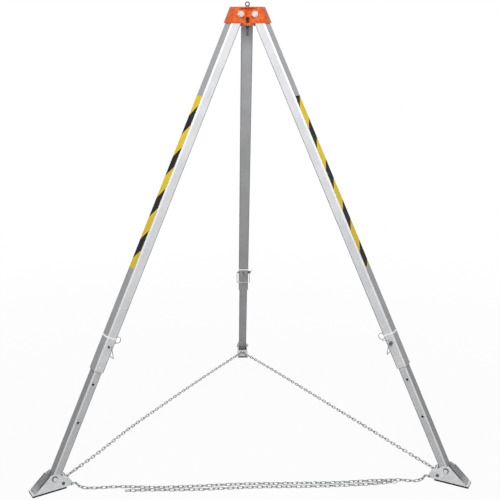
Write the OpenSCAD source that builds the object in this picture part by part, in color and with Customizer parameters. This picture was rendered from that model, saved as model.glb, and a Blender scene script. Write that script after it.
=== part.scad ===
// Rescue tripod: an orange head, three telescoping legs with lock pins, hinged feet and a foot chain.
// Z = 0 is the floor, and the load line through the anchor eye is the Z axis. The rear leg points to +Y.

/* [Stance] */
// Lean of each leg from the vertical, in degrees
leg_splay = 25.8; // [22:0.1:28]
// Distance of each leg's hinge from the load line
hinge_radius = 57; // [54:1:64]

/* [Upper leg] */
// Width of the upper tube across the leg
upper_w = 55; // [52:1:58]
// Depth of the upper tube, from its inner to its outer face
upper_d = 50; // [47:1:53]
// Wall of the upper tube
upper_wall = 3; // [2.5:0.1:3.4]
// Length of the upper tube below its hinge
upper_len = 1753; // [1500:1:1900]
// Corner radius of both tubes
tube_corner = 4; // [3.5:0.1:5]

/* [Lower leg] */
// Wall of the lower tube
lower_wall = 3; // [2.5:0.1:3.4]
// Length of the lower tube inside the upper tube
lower_overlap = 200; // [180:1:400]
// Distance from the upper tube's end to the foot's hinge
lower_reach = 525; // [460:1:700]
// Distance between the lower tube's lock holes
hole_pitch = 188; // [150:1:190]
// Radius of the lock holes in the lower tube
hole_r = 6; // [5.5:0.1:7]
// Running gap between the lower tube and its liner
slide_gap = 0.3; // [0.2:0.05:0.5]
// Wall of the plastic liner between the two tubes
liner_wall = 1.2; // [1:0.1:1.6]
// Length of the plastic liner at the upper tube's end
liner_len = 80; // [60:1:90]

/* [Lock] */
// Distance from the upper tube's end up to the lock pin
pin_up = 125; // [115:1:135]
// Radius of the lock pin's shank
pin_r = 5; // [4:0.1:5.4]
// Radius of the lock pin's head
pin_head_r = 7.5; // [7:0.1:9]
// Length of the lock pin's head
pin_head_len = 14; // [12:0.5:18]
// Length of the lock pin's tip outside the tube
pin_tip_len = 8; // [6:0.5:9]
// Radius of the bail's wire
bail_r = 2; // [1.5:0.1:2.4]
// Reach of the bail from the pin across the tube's inner face
bail_reach = 60; // [56:1:66]
// Distance from the upper tube's end up to the clamp band
band_up = 166; // [160:1:175]
// Width of the clamp band along the leg
band_w = 8; // [6:0.5:10]
// Thickness of the clamp band
band_t = 1.2; // [1:0.1:1.6]
// Mean radius of the split ring
ring_r = 15; // [13:0.5:17]
// Radius of the split ring's wire
ring_wire_r = 1.5; // [1.2:0.05:1.8]
// Radius of the lanyard's wire rope
lanyard_r = 1; // [0.8:0.1:1.3]

/* [Head] */
// Thickness of the head's plates
head_wall = 4.5; // [4:0.1:5.5]
// Gap between a leg's side face and the head's cheek
cheek_gap = 0.5; // [0.3:0.1:1]
// Gap between a leg's outer face and the stop plate
stop_gap = 0.3; // [0.2:0.05:0.5]
// Height of the head's top above the hinges
head_up = 32; // [31:0.5:36]
// Depth of the head's lower edge below the hinges
head_down = 39; // [36:0.5:44]
// Where the lower edge starts to dip, from the load line
lip_start = 51; // [48:1:56]
// Where the dipped edge turns flatter, from the load line
lip_turn = 41; // [38:1:44]
// Depth of the dipped edge at that turn
lip_drop = 9.5; // [8:0.5:11]
// Depth of the dipped edge at the load line
lip_low = 15; // [13:0.5:17]
// Width of the slot in each valley of the head
slot_w = 18; // [14:0.5:20]
// Height of the slot in each valley of the head
slot_h = 27; // [24:0.5:29]
// Depth of the slot's centre below the hinges
slot_down = 27; // [25:0.5:29]
// Radius of the hinge bolts
hinge_bolt_r = 8; // [7:0.1:9]
// Running gap round the hinge and foot bolts
bolt_gap = 0.05; // [0.02:0.01:0.09]

/* [Anchor] */
// Radius of the hole in the anchor eye
eye_hole_r = 11; // [10:0.5:12]
// Width of the anchor eye's rim
eye_rim = 9; // [8:0.5:10]
// Thickness of the anchor eye
eye_t = 10; // [8:0.5:12]
// Radius of the anchor eye's threaded shank
shank_r = 6; // [5:0.1:6.5]
// Depth of the anchor eye's centre below the hinges
eye_down = 78; // [74:1:86]
// Outer radius of the carrying eye on the top
top_eye_r = 11.5; // [10:0.5:13]
// Radius of the carrying eye's wire
top_eye_wire_r = 2.75; // [2.5:0.05:3]

/* [Foot] */
// Gap between the lower tube and each of the foot's side plates
foot_gap = 2.5; // [1:0.1:4]
// Thickness of the foot's side plates
foot_side_t = 4; // [3:0.1:4.4]
// Thickness of the foot's base and its heel plate
foot_base_t = 4; // [3:0.1:5]
// Thickness of the rubber sole
sole_t = 8; // [6:0.5:10]
// Distance from the foot's hinge back to the heel
heel_back = 52; // [51:0.5:58]
// Distance from the foot's hinge back to the nose of the side plates
heel_nose = 83; // [80:0.5:86]
// Height where the nose of the side plates rounds over
nose_up = 36; // [32:0.5:40]
// Distance from the foot's hinge forward to the toe
toe_front = 107; // [101:1:113]
// Length of the flat toe in front of the sloping plate
toe_flat = 10; // [8:0.5:12]
// Distance of the sloping plate's top outward from the foot's hinge
ramp_top_out = 26; // [23:0.5:28]
// Height of the sloping plate's top above the floor
ramp_top_up = 76; // [72:0.5:79]
// Height of the side plates' top above the floor
side_up = 87; // [83:0.5:91]
// Distance of the side plates' top corner outward from the foot's hinge
side_front = 10; // [7:0.5:13]
// Distance of the side plates' top corner inward from the foot's hinge
side_back = 18; // [15:0.5:21]
// Drop of the side plates' top towards the heel
side_drop = 4; // [3:0.5:6]
// Size of the cut corner over the heel
heel_cut = 8; // [6:0.5:10]
// Height of the foot's hinge above the floor
foot_hinge_up = 63.5; // [63:0.5:70]
// Distance of the foot's hinge outward from the leg's centre line
foot_hinge_out = 8; // [6:0.5:9]
// Radius of the foot's hinge bolt
foot_bolt_r = 6; // [5:0.1:6.5]
// Height of the heel plate above the floor
heel_plate_up = 60; // [58:1:64]
// Height of the chain eye above the floor
chain_eye_up = 45; // [42:1:46]
// Mean radius of the chain eye's ring
chain_eye_r = 9; // [8:0.5:10]
// Radius of the chain eye's wire
chain_eye_wire_r = 3; // [2.5:0.1:3.5]

/* [Safety tape] */
// Distance from the hinge down to the tape's start
tape_start = 412; // [380:1:450]
// Length of the tape
tape_len = 843; // [780:1:870]
// Thickness of the tape
tape_t = 0.4; // [0.3:0.05:0.6]

/* [Chain] */
// Outer radius of the chain's links
chain_r = 6; // [5:0.5:7]
// Number of sides of the chain's and lanyards' plain outline
chain_sides = 8; // [8:1:12]

/* [Hidden] */
$fn = 48;
LEGS = [["rear", 90], ["left", 210], ["right", 330]];
HEAD_PARTS = ["head_shell", "hinge_bolts", "hinge_nuts", "anchor_eye", "anchor_nut", "top_eye"];
LEG_PARTS = ["upper_tube", "hinge_bush", "tube_liner", "liner_rivets", "safety_tape", "clamp_band",
    "split_ring", "lanyard", "lock_pin", "pin_bail", "lower_tube", "foot_shell", "foot_ramp",
    "foot_sole", "foot_bolt", "chain_eye"];
CHAIN_PARTS = ["chain_left", "chain_right", "chain_front", "chain_tail", "quick_link"];

// Colours
ORANGE = [0.93, 0.35, 0.14];
ALUMINIUM = [0.80, 0.81, 0.82];
GALVANISED = [0.72, 0.73, 0.75];
ZINC = [0.85, 0.86, 0.88];
RUBBER = [0.08, 0.08, 0.08];
DARK_STEEL = [0.30, 0.31, 0.32];
YELLOW = [0.95, 0.78, 0.08];
NYLON = [0.13, 0.13, 0.14];

// Places that follow from the sizes
leg_len = upper_len + lower_reach;
hinge_up = foot_hinge_up - foot_hinge_out*sin(leg_splay) + leg_len*cos(leg_splay);
foot_r = hinge_radius + foot_hinge_out*cos(leg_splay) + leg_len*sin(leg_splay);
head_half = upper_w/2 + cheek_gap + head_wall;
stop_out = upper_d/2 + stop_gap;
head_top = hinge_up + head_up;
head_low = hinge_up - head_down;
lower_w = upper_w - 2*(upper_wall + liner_wall + slide_gap);
lower_d = upper_d - 2*(upper_wall + liner_wall + slide_gap);
pin_z = -(upper_len - pin_up);
head_seat = 1;
band_z = -(upper_len - band_up);
cut = 1;

// Hex bolts: across-flats and heights from the thread's radius
function hex_r(r) = 1.5*r/cos(30)*1.02;
function head_h(r) = 1.25*r;
function nut_h(r) = 1.6*r;

// Leg frame: origin on the hinge, X out of the leg's outer face, Y across the leg, Z up along the leg.
module on_leg(azimuth) {
    rotate([0, 0, azimuth]) translate([hinge_radius, 0, hinge_up]) rotate([0, -leg_splay, 0]) children();
}

// Foot frame: origin on the floor under the foot's hinge, X out to the toe, Y across the foot, Z up.
module on_foot(azimuth) {
    rotate([0, 0, azimuth]) translate([foot_r, 0, 0]) children();
}

// A cylinder along Y, from y0 to y1
module across(r, y0, y1) {
    translate([0, y0, 0]) rotate([-90, 0, 0]) cylinder(r = r, h = y1 - y0);
}

// A rounded rectangle, with d along X and w along Y
module rounded(d, w, r) {
    square([d - 2*r, w], center = true);
    square([d, w - 2*r], center = true);
    for (x = [-1, 1], y = [-1, 1]) translate([x*(d/2 - r), y*(w/2 - r)]) circle(r = r);
}

// A straight tube with rounded corners, from z0 up to z1
module box_tube(d, w, wall, r, z0, z1) {
    translate([0, 0, z0]) linear_extrude(z1 - z0) difference() {
        rounded(d, w, r);
        rounded(d - 2*wall, w - 2*wall, max(r - wall, 0.5));
    }
}

// A ring of round wire, with its axis along Z
module wire_ring(mean_r, wire_r) {
    rotate_extrude() translate([mean_r, 0]) circle(r = wire_r, $fn = 24);
}

// A six-sided bar along Y, from y0 to y1
module hex_across(r, y0, y1) {
    translate([0, y0, 0]) rotate([-90, 0, 0]) cylinder(r = r, h = y1 - y0, $fn = 6);
}

// A tube swept along a list of points, with flat ends
function unit(v) = v/norm(v);
function tangent(points, i) = let (last = len(points) - 1)
    unit(points[min(i + 1, last)] - points[max(i - 1, 0)]);
function side_of(t) = unit(cross(abs(t[2]) > 0.9 ? [1, 0, 0] : [0, 0, 1], t));
module swept(points, r, sides) {
    count = len(points);
    rings = [for (i = [0:count - 1], k = [0:sides - 1])
        let (t = tangent(points, i), s = side_of(t), u = cross(t, s), a = 360*k/sides)
        points[i] + r*cos(a)*s + r*sin(a)*u];
    walls = [for (i = [0:count - 2], k = [0:sides - 1])
        let (a = i*sides + k, b = i*sides + (k + 1)%sides) each [[a, a + sides, b], [b, a + sides, b + sides]]];
    first = [for (k = [1:sides - 2]) [0, k, k + 1]];
    base = (count - 1)*sides;
    last = [for (k = [1:sides - 2]) [base, base + k + 1, base + k]];
    polyhedron(rings, concat(walls, first, last));
}

// Head
module arm_profile(out, low, top) {
    function edge(z) = hinge_radius - (z - hinge_up)*tan(leg_splay) + out/cos(leg_splay);
    polygon([[0, top], [edge(top), top], [edge(low), low], [lip_start, low], [lip_turn, low - lip_drop],
        [0, low - lip_low]]);
}

// One solid arm of the head, as wide as twice half
module arm(out, half, low, top) {
    translate([0, half, 0]) rotate([90, 0, 0]) linear_extrude(2*half) arm_profile(out, low, top);
}

module top_plate() {
    out = hinge_radius - head_up*tan(leg_splay) + (stop_out + head_wall)/cos(leg_splay);
    corners = [for (leg = LEGS, side = [-1, 1])
        [out*cos(leg[1]) - side*head_half*sin(leg[1]), out*sin(leg[1]) + side*head_half*cos(leg[1])]];
    translate([0, 0, head_top - head_wall]) linear_extrude(head_wall) polygon(corners);
}

// The slot in the valley that faces the leg opposite
module valley_slot() {
    corner = head_half/cos(30);
    rise = (slot_h - slot_w)/2;
    translate([-2*corner, 0, hinge_up - slot_down]) rotate([0, 90, 0]) {
        for (end = [-1, 1]) translate([end*rise, 0, 0]) cylinder(r = slot_w/2, h = 2*corner);
        translate([-rise, -slot_w/2, 0]) cube([2*rise, slot_w, 2*corner]);
    }
}

module head_shell() {
    color(ORANGE) difference() {
        union() {
            for (leg = LEGS) rotate([0, 0, leg[1]])
                arm(stop_out + head_wall, head_half, head_low, head_top);
            top_plate();
        }
        for (leg = LEGS) rotate([0, 0, leg[1]]) {
            arm(stop_out, head_half - head_wall, head_low - upper_w, head_top - head_wall);
            valley_slot();
            translate([hinge_radius, 0, hinge_up]) across(hinge_bolt_r, -head_half - cut, head_half + cut);
        }
        cylinder(r = shank_r, h = head_top + cut);
    }
}

module hinge_bolts() {
    color(ZINC) for (leg = LEGS) rotate([0, 0, leg[1]]) translate([hinge_radius, 0, hinge_up]) {
        across(hinge_bolt_r, -head_half, head_half + nut_h(hinge_bolt_r));
        hex_across(hex_r(hinge_bolt_r), -head_half - head_h(hinge_bolt_r), -head_half);
    }
}

module hinge_nuts() {
    color(ZINC) for (leg = LEGS) rotate([0, 0, leg[1]]) translate([hinge_radius, 0, hinge_up]) difference() {
        hex_across(hex_r(hinge_bolt_r), head_half, head_half + nut_h(hinge_bolt_r));
        across(hinge_bolt_r, head_half - cut, head_half + nut_h(hinge_bolt_r) + cut);
    }
}

// The anchor eye faces sideways, so its edge points to the front.
module anchor_eye() {
    color(ZINC) rotate([0, 0, 90]) difference() {
        union() {
            translate([0, 0, hinge_up - eye_down]) across(eye_hole_r + eye_rim, -eye_t/2, eye_t/2);
            translate([0, 0, hinge_up - eye_down + eye_hole_r + eye_rim/2])
                cylinder(r = shank_r, h = eye_down + head_up + head_wall - eye_hole_r - eye_rim/2);
        }
        translate([0, 0, hinge_up - eye_down]) across(eye_hole_r, -eye_t, eye_t);
    }
}

module anchor_nut() {
    color(ZINC) translate([0, 0, head_top - head_wall - nut_h(shank_r)]) difference() {
        cylinder(r = hex_r(shank_r), h = nut_h(shank_r), $fn = 6);
        translate([0, 0, -cut]) cylinder(r = shank_r, h = nut_h(shank_r) + 2*cut);
    }
}

// The carrying eye is screwed on the anchor eye's shank.
module top_eye() {
    collar_h = head_wall + 2.5;
    mean_r = top_eye_r - top_eye_wire_r;
    color(ZINC) difference() {
        union() {
            translate([0, 0, head_top]) cylinder(r = shank_r + 3, h = collar_h);
            translate([0, 0, head_top + collar_h + mean_r - top_eye_wire_r]) rotate([90, 0, 0])
                wire_ring(mean_r, top_eye_wire_r);
        }
        translate([0, 0, head_top - cut]) cylinder(r = shank_r, h = head_wall + cut);
    }
}

// Legs
module upper_tube(azimuth) {
    color(ALUMINIUM) on_leg(azimuth) difference() {
        intersection() {
            box_tube(upper_d, upper_w, upper_wall, tube_corner, -upper_len, upper_d/2);
            union() {
                across(upper_d/2, -upper_w, upper_w);
                translate([-upper_d, -upper_w, -2*upper_len]) cube([2*upper_d, 2*upper_w, 2*upper_len]);
            }
        }
        across(bush_r(), -upper_w, upper_w);
        translate([0, 0, pin_z]) across(pin_r, -upper_w, upper_w);
        translate([0, 0, rivet_z()]) across(rivet_r(), -upper_w, upper_w);
    }
}

// The bush keeps the tube from being crushed when the hinge bolt is tightened.
function bush_r() = hinge_bolt_r + 3.5;
module hinge_bush(azimuth) {
    color(ZINC) on_leg(azimuth) difference() {
        across(bush_r(), -upper_w/2, upper_w/2);
        across(hinge_bolt_r + bolt_gap, -upper_w, upper_w);
    }
}

function rivet_r() = 2;
function rivet_z() = -(upper_len - liner_len/4);
module tube_liner(azimuth) {
    color(NYLON) on_leg(azimuth) difference() {
        translate([0, 0, -upper_len]) linear_extrude(liner_len) difference() {
            rounded(upper_d - 2*upper_wall, upper_w - 2*upper_wall, max(tube_corner - upper_wall, 0.5));
            rounded(lower_d + 2*slide_gap, lower_w + 2*slide_gap, tube_corner);
        }
        translate([0, 0, rivet_z()]) across(rivet_r(), -upper_w, upper_w);
    }
}

module liner_rivets(azimuth) {
    depth = upper_wall + liner_wall;
    color(ZINC) on_leg(azimuth) translate([0, 0, rivet_z()]) for (turn = [0, 180]) rotate([0, 0, turn]) {
        across(rivet_r(), upper_w/2 - depth, upper_w/2);
        across(2*rivet_r(), upper_w/2, upper_w/2 + 1.2);
    }
}

module safety_tape(azimuth) {
    width = upper_w - 2*tube_corner;
    color(YELLOW) on_leg(azimuth) translate([upper_d/2, -width/2, -tape_start - tape_len])
        cube([tape_t, width, tape_len]);
}

// The clamp band carries a flat ear on the leg's inner face for the split ring.
function ear_out() = 2*ring_wire_r + 7;
function ear_hole_x() = -upper_d/2 - band_t - ear_out()/2;
module clamp_band(azimuth) {
    color(ZINC) on_leg(azimuth) translate([0, 0, band_z]) difference() {
        union() {
            translate([0, 0, -band_w/2]) linear_extrude(band_w) difference() {
                rounded(upper_d + 2*band_t, upper_w + 2*band_t, tube_corner + band_t);
                rounded(upper_d, upper_w, tube_corner);
            }
            translate([-upper_d/2 - band_t - ear_out(), -band_w/2, -1.5]) cube([ear_out(), band_w, 3]);
        }
        translate([ear_hole_x(), 0, -band_w]) cylinder(r = 2*ring_wire_r, h = 2*band_w);
    }
}

// The split ring droops from the ear's hole, in the leg's own plane.
ring_droop = 20;
function ring_x() = ear_hole_x() - 0.3*ring_wire_r - ring_r*cos(ring_droop);
function ring_z() = band_z - ring_r*sin(ring_droop);
module split_ring(azimuth) {
    color(ZINC) on_leg(azimuth) translate([ring_x(), 0, ring_z()]) rotate([90, 0, 0]) wire_ring(ring_r, ring_wire_r);
}

// The lanyard runs from the split ring to the lock pin's head.
function head_end() = -upper_w/2 - head_seat - pin_head_len;
module lanyard(azimuth) {
    start = [ring_x(), 0, ring_z() - ring_r - ring_wire_r - lanyard_r - 0.2];
    end = [0, head_end() - lanyard_r, pin_z];
    route = [start, start + [1, -8, -1], start + [6, -22, 0], start + [17, -35, 2], end + [-8, -7, 23],
        end + [0, -8, 18], end + [2, -6, 11], end + [0.5, -1.5, 6], end + [0, 0, 3], end + [0, 0, -3]];
    color(DARK_STEEL) on_leg(azimuth) swept(route, lanyard_r, chain_sides);
}

// Bail frame: origin in the pin's head, X down past the tube's inner face, Y across the leg, Z along its hinge.
bail_lean = 31.8;
bail_off = pin_head_r + bail_r + 0.5;
module on_bail() {
    translate([0, -upper_w/2 - head_seat - pin_head_len/2, pin_z]) rotate([0, bail_lean + 90, 0]) children();
}

// The shank is stored as the lengths that stand in the upper tube's two walls.
module lock_pin(azimuth) {
    inside = upper_w/2 - upper_wall;
    color(ZINC) on_leg(azimuth) difference() {
        translate([0, 0, pin_z]) {
            across(pin_r, -upper_w/2 - head_seat, -inside);
            across(pin_head_r, head_end(), -upper_w/2 - head_seat);
            across(pin_r, inside, upper_w/2 + pin_tip_len);
        }
        on_bail() translate([0, 0, -2*pin_head_r]) cylinder(r = bail_r + bolt_gap, h = 4*pin_head_r);
    }
}

module pin_bail(azimuth) {
    far = upper_w + head_seat + pin_head_len/2 + pin_tip_len + bail_r + head_seat;
    color(ZINC) on_leg(azimuth) on_bail() {
        translate([0, 0, -bail_off]) cylinder(r = bail_r, h = pin_head_r + bail_off);
        translate([0, 0, -bail_off]) {
            rotate([0, 90, 0]) cylinder(r = bail_r, h = bail_reach);
            translate([bail_reach, 0, 0]) across(bail_r, 0, far);
            translate([0, far, 0]) rotate([0, 90, 0]) cylinder(r = bail_r, h = bail_reach);
            for (y = [0, far], x = [0, bail_reach]) translate([x, y, 0]) sphere(r = bail_r);
        }
    }
}

module lower_tube(azimuth) {
    end_up = -leg_len - lower_d/2 - foot_hinge_out;
    color(ALUMINIUM) on_leg(azimuth) difference() {
        box_tube(lower_d, lower_w, lower_wall, tube_corner, end_up, lower_overlap - upper_len);
        for (i = [0:2]) translate([0, 0, pin_z - i*hole_pitch]) across(hole_r, -lower_w, lower_w);
        translate([foot_hinge_out, 0, -leg_len]) across(foot_bolt_r + bolt_gap, -lower_w, lower_w);
    }
}

// Feet
side_in = lower_w/2 + foot_gap;
foot_w = 2*(side_in + foot_side_t);
base_up = sole_t + foot_base_t;
ramp_top = [ramp_top_out, ramp_top_up];
ramp_end = toe_front - toe_flat;
module side_outline() {
    polygon([[-heel_nose, sole_t], [ramp_end, sole_t], [ramp_end, base_up], ramp_top, [side_front, side_up],
        [-side_back, side_up - side_drop], [-heel_back + heel_cut, heel_plate_up],
        [-heel_back - heel_cut, heel_plate_up - heel_cut], [-heel_nose + heel_cut, nose_up],
        [-heel_nose, sole_t + heel_cut]]);
}

module foot_shell(azimuth) {
    color(GALVANISED) on_foot(azimuth) difference() {
        union() {
            for (y = [-foot_w/2 + foot_side_t, foot_w/2]) translate([0, y, 0]) rotate([90, 0, 0])
                linear_extrude(foot_side_t) side_outline();
            translate([-heel_back, -foot_w/2, sole_t]) cube([heel_back + toe_front, foot_w, foot_base_t]);
            translate([-heel_back, -side_in, sole_t]) cube([foot_base_t, 2*side_in, heel_plate_up - heel_cut - sole_t]);
        }
        translate([0, 0, foot_hinge_up]) across(foot_bolt_r, -foot_w, foot_w);
        translate([-heel_back - cut, 0, chain_eye_up]) rotate([0, 90, 0])
            cylinder(r = chain_eye_wire_r, h = foot_base_t + 2*cut);
    }
}

// The sloping plate between the foot's side plates, from the toe up towards the leg
ramp_t = 3;
module foot_ramp(azimuth) {
    run = [ramp_top[0] - ramp_end, ramp_top[1] - base_up];
    slope = atan2(run[1], run[0]);
    color(DARK_STEEL) on_foot(azimuth) translate([ramp_end, -foot_w/2, base_up]) rotate([0, -slope, 0])
        translate([ramp_t, 0, -ramp_t]) cube([norm(run) - ramp_t, foot_w, ramp_t]);
}

module foot_sole(azimuth) {
    color(RUBBER) on_foot(azimuth) translate([-heel_back, -foot_w/2, 0])
        cube([heel_back + toe_front, foot_w, sole_t]);
}

module foot_bolt(azimuth) {
    color(ZINC) on_foot(azimuth) translate([0, 0, foot_hinge_up]) {
        across(foot_bolt_r, -foot_w/2, foot_w/2);
        hex_across(hex_r(foot_bolt_r), foot_w/2, foot_w/2 + head_h(foot_bolt_r));
        hex_across(hex_r(foot_bolt_r), -foot_w/2 - nut_h(foot_bolt_r), -foot_w/2);
    }
}

// The chain eye stands on the heel, with its nut behind the heel plate.
module chain_eye(azimuth) {
    ring_x = -heel_back - chain_eye_r - chain_eye_wire_r;
    color(ZINC) on_foot(azimuth) translate([0, 0, chain_eye_up]) {
        translate([ring_x, 0, 0]) rotate([90, 0, 0]) wire_ring(chain_eye_r, chain_eye_wire_r);
        translate([-heel_back - chain_eye_wire_r, 0, 0]) rotate([0, 90, 0])
            cylinder(r = chain_eye_wire_r, h = chain_eye_wire_r + foot_base_t);
        translate([-heel_back + foot_base_t, 0, 0]) rotate([0, 90, 0])
            cylinder(r = hex_r(chain_eye_wire_r), h = nut_h(chain_eye_wire_r), $fn = 6);
    }
}

// Chain: plain outlines of the links, along routes on and just over the floor
LEFT_ROUTE = [[-847.7, -489.4, 52], [-746.9, -300, 50], [-620.8, -49, 49], [-462.5, 229, 48.5], [-299.1, 504, 49],
    [-141.3, 759.5, 50], [0, 978.8, 52]];
RIGHT_ROUTE = [[847.7, -489.4, 52], [741.7, -303, 50], [605.2, -58, 47], [447.8, 220.5, 44.5], [291.3, 499.5, 42],
    [142.1, 760, 40], [0, 978.8, 38.5]];
FRONT_ROUTE = [[-827.6, -509.6, 15], [-821.1, -507.1, 15], [-812.5, -510.1, 13], [-802.2, -520.9, 11],
    [-785, -534, 9.8], [-763, -540.5, 9.8], [-739, -543.5, 9.8], [-693, -542, 9.8], [-640, -538, 9.8],
    [-560, -540, 9.8], [-470, -548, 9.8], [-350, -549, 9.8], [-240, -545, 9.8], [-120, -539, 9.8], [0, -536, 9.8],
    [120, -538, 9.8], [230, -539, 9.8], [330, -541, 9.8], [420, -540, 9.8], [520, -533, 9.8], [600, -530, 9.8],
    [690, -530, 9.8], [727, -537, 9.8], [757, -541, 9.8], [785, -534, 9.8], [802.2, -520.9, 11],
    [812.5, -510.1, 13], [821.1, -507.1, 15], [827.6, -509.6, 15]];
TAIL_ROUTE = [[644, -547, 9.8], [600, -554, 9.8], [540, -560, 9.8], [450, -566, 9.8], [340, -569, 9.8], [220, -569, 9.8],
    [100, -566, 9.8], [-10, -566, 9.8], [-130, -571, 9.8], [-240, -575, 9.8], [-360, -575, 9.8], [-470, -571, 9.8],
    [-582, -573, 9.8]];

module chain(route) {
    color(ZINC) swept(route, chain_r, chain_sides);
}

// The quick link joins the tail to the front chain.
module quick_link() {
    wire_r = 2.5;
    lift = 2.8;
    half = 8;
    color(ZINC) translate([661, -543.3, wire_r + lift]) {
        for (end = [-1, 1]) translate([end*half, 0, 0]) wire_end(end, wire_r);
        for (y = [-1, 1]) translate([-half, y*6, 0]) rotate([0, 90, 0]) cylinder(r = wire_r, h = 2*half);
    }
}

// Half a turn of the quick link's wire
module wire_end(end, wire_r) {
    intersection() {
        wire_ring(6, wire_r);
        translate([end > 0 ? 0 : -20, -20, -10]) cube([20, 40, 20]);
    }
}

head_shell();
hinge_bolts();
hinge_nuts();
anchor_eye();
anchor_nut();
top_eye();
for (leg = LEGS) {
    upper_tube(leg[1]);
    hinge_bush(leg[1]);
    tube_liner(leg[1]);
    liner_rivets(leg[1]);
    safety_tape(leg[1]);
    clamp_band(leg[1]);
    split_ring(leg[1]);
    lanyard(leg[1]);
    lock_pin(leg[1]);
    pin_bail(leg[1]);
    lower_tube(leg[1]);
    foot_shell(leg[1]);
    foot_ramp(leg[1]);
    foot_sole(leg[1]);
    foot_bolt(leg[1]);
    chain_eye(leg[1]);
}
chain(LEFT_ROUTE);  // chain_left
chain(RIGHT_ROUTE);  // chain_right
chain(FRONT_ROUTE);  // chain_front
chain(TAIL_ROUTE);  // chain_tail
quick_link();
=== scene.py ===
import math

import bpy
from mathutils import Matrix, Vector


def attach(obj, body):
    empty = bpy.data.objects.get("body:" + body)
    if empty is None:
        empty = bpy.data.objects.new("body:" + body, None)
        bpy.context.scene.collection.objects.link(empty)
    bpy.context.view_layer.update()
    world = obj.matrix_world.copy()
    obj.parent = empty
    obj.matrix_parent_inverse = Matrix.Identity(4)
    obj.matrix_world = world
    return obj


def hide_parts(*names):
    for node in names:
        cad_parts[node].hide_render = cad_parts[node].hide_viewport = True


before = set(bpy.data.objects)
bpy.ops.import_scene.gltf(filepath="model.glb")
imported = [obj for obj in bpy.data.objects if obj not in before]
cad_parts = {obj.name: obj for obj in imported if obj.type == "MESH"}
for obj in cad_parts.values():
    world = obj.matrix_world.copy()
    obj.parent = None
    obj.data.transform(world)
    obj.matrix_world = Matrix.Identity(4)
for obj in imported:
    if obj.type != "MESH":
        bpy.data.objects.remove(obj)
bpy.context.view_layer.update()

# Sizes of the tripod in metres, the same as in the part's source
LEGS = {"rear": 90, "left": 210, "right": 330}
SPLAY = math.radians(25.8)
HINGE_RADIUS = 0.057
HINGE_UP = 2.110944
FOOT_RADIUS = 1.055659
HEAD_HALF = 0.0325
HEAD_TOP = 2.142944
ANCHOR_UP = 2.032944
PIN_Z = -1.628
BAND_Z = -1.587
UPPER_END = -1.753
RING_X = -0.04575
RING_Z = -1.59213
FOOT_HINGE_UP = 0.0635
CHAIN_EYE_UP = 0.045


def leg_place(azimuth):
    """From the leg's own frame, with its origin on the hinge and Z up the leg, to the tripod's frame."""
    turn = Matrix.Rotation(math.radians(azimuth), 4, "Z")
    hinge = Matrix.Translation((HINGE_RADIUS, 0, HINGE_UP))
    return turn @ hinge @ Matrix.Rotation(-SPLAY, 4, "Y")


def arm_place(azimuth):
    """From an arm of the head, with its origin on the hinge and Z upright, to the tripod's frame."""
    turn = Matrix.Rotation(math.radians(azimuth), 4, "Z")
    return turn @ Matrix.Translation((HINGE_RADIUS, 0, HINGE_UP))


def foot_place(azimuth):
    """From a foot's own frame, on the floor under its hinge, to the tripod's frame."""
    turn = Matrix.Rotation(math.radians(azimuth), 4, "Z")
    return turn @ Matrix.Translation((FOOT_RADIUS, 0, 0))


ACROSS = Matrix.Rotation(math.radians(-90), 4, "X")
OUTWARD = Matrix.Rotation(math.radians(90), 4, "Y")
UPRIGHT = Matrix.Rotation(math.radians(90), 4, "X")


# Camera, at the photograph's viewing angle
CAMERA_AT = (-0.135, -3.928, 2.039)
CAMERA_LOOK = Vector((0.0384, 0.9652, -0.2586))
CAMERA_LENS = 59.07
CAMERA_SHIFT = -0.0042
bpy.ops.object.select_all(action="DESELECT")
bpy.ops.object.camera_add(location=CAMERA_AT)
camera = bpy.context.object
camera.rotation_euler = CAMERA_LOOK.to_track_quat("-Z", "Y").to_euler()
camera.data.sensor_width = 36
camera.data.lens = CAMERA_LENS
camera.data.shift_x = CAMERA_SHIFT
bpy.context.scene.camera = camera
bpy.context.scene.view_settings.view_transform = "Standard"


# Workshop helpers
def clear_choice():
    """Leaves edit mode and deselects everything."""
    if bpy.context.object and bpy.context.object.mode != "OBJECT":
        bpy.ops.object.mode_set(mode="OBJECT")
    bpy.ops.object.select_all(action="DESELECT")


def choose(piece):
    """Makes one piece the only one selected."""
    clear_choice()
    piece.select_set(True)
    bpy.context.view_layer.objects.active = piece


def pick(piece, kind, test):
    """Opens edit mode with those faces or points selected that pass the test."""
    choose(piece)
    bpy.ops.object.mode_set(mode="EDIT")
    bpy.ops.mesh.select_mode(type=kind)
    bpy.ops.mesh.select_all(action="DESELECT")
    bpy.ops.object.mode_set(mode="OBJECT")
    for item in piece.data.polygons if kind == "FACE" else piece.data.vertices:
        item.select = test(item)
    bpy.ops.object.mode_set(mode="EDIT")


DOUBLE_GAP = 0.000005


def settle(piece):
    """Puts a primitive's place and size into its mesh."""
    choose(piece)
    bpy.ops.object.transform_apply(location=True, rotation=True, scale=True)


def face_outwards(piece):
    """Merges doubled points and turns all faces outwards."""
    choose(piece)
    bpy.ops.object.mode_set(mode="EDIT")
    bpy.ops.mesh.select_all(action="SELECT")
    bpy.ops.mesh.remove_doubles(threshold=DOUBLE_GAP)
    bpy.ops.mesh.normals_make_consistent(inside=False)
    bpy.ops.object.mode_set(mode="OBJECT")


def smooth(piece, angle=35):
    """Shades a piece smooth up to an angle."""
    choose(piece)
    bpy.ops.object.shade_smooth_by_angle(angle=math.radians(angle))


def round_edges(piece, width, segments=3, angle=30):
    """Rounds the edges that are sharper than an angle."""
    choose(piece)
    bevel = piece.modifiers.new("Rounded edges", "BEVEL")
    bevel.width = width
    bevel.segments = segments
    bevel.limit_method = "ANGLE"
    bevel.angle_limit = math.radians(angle)
    bpy.ops.object.modifier_apply(modifier=bevel.name)
    smooth(piece)


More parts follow.
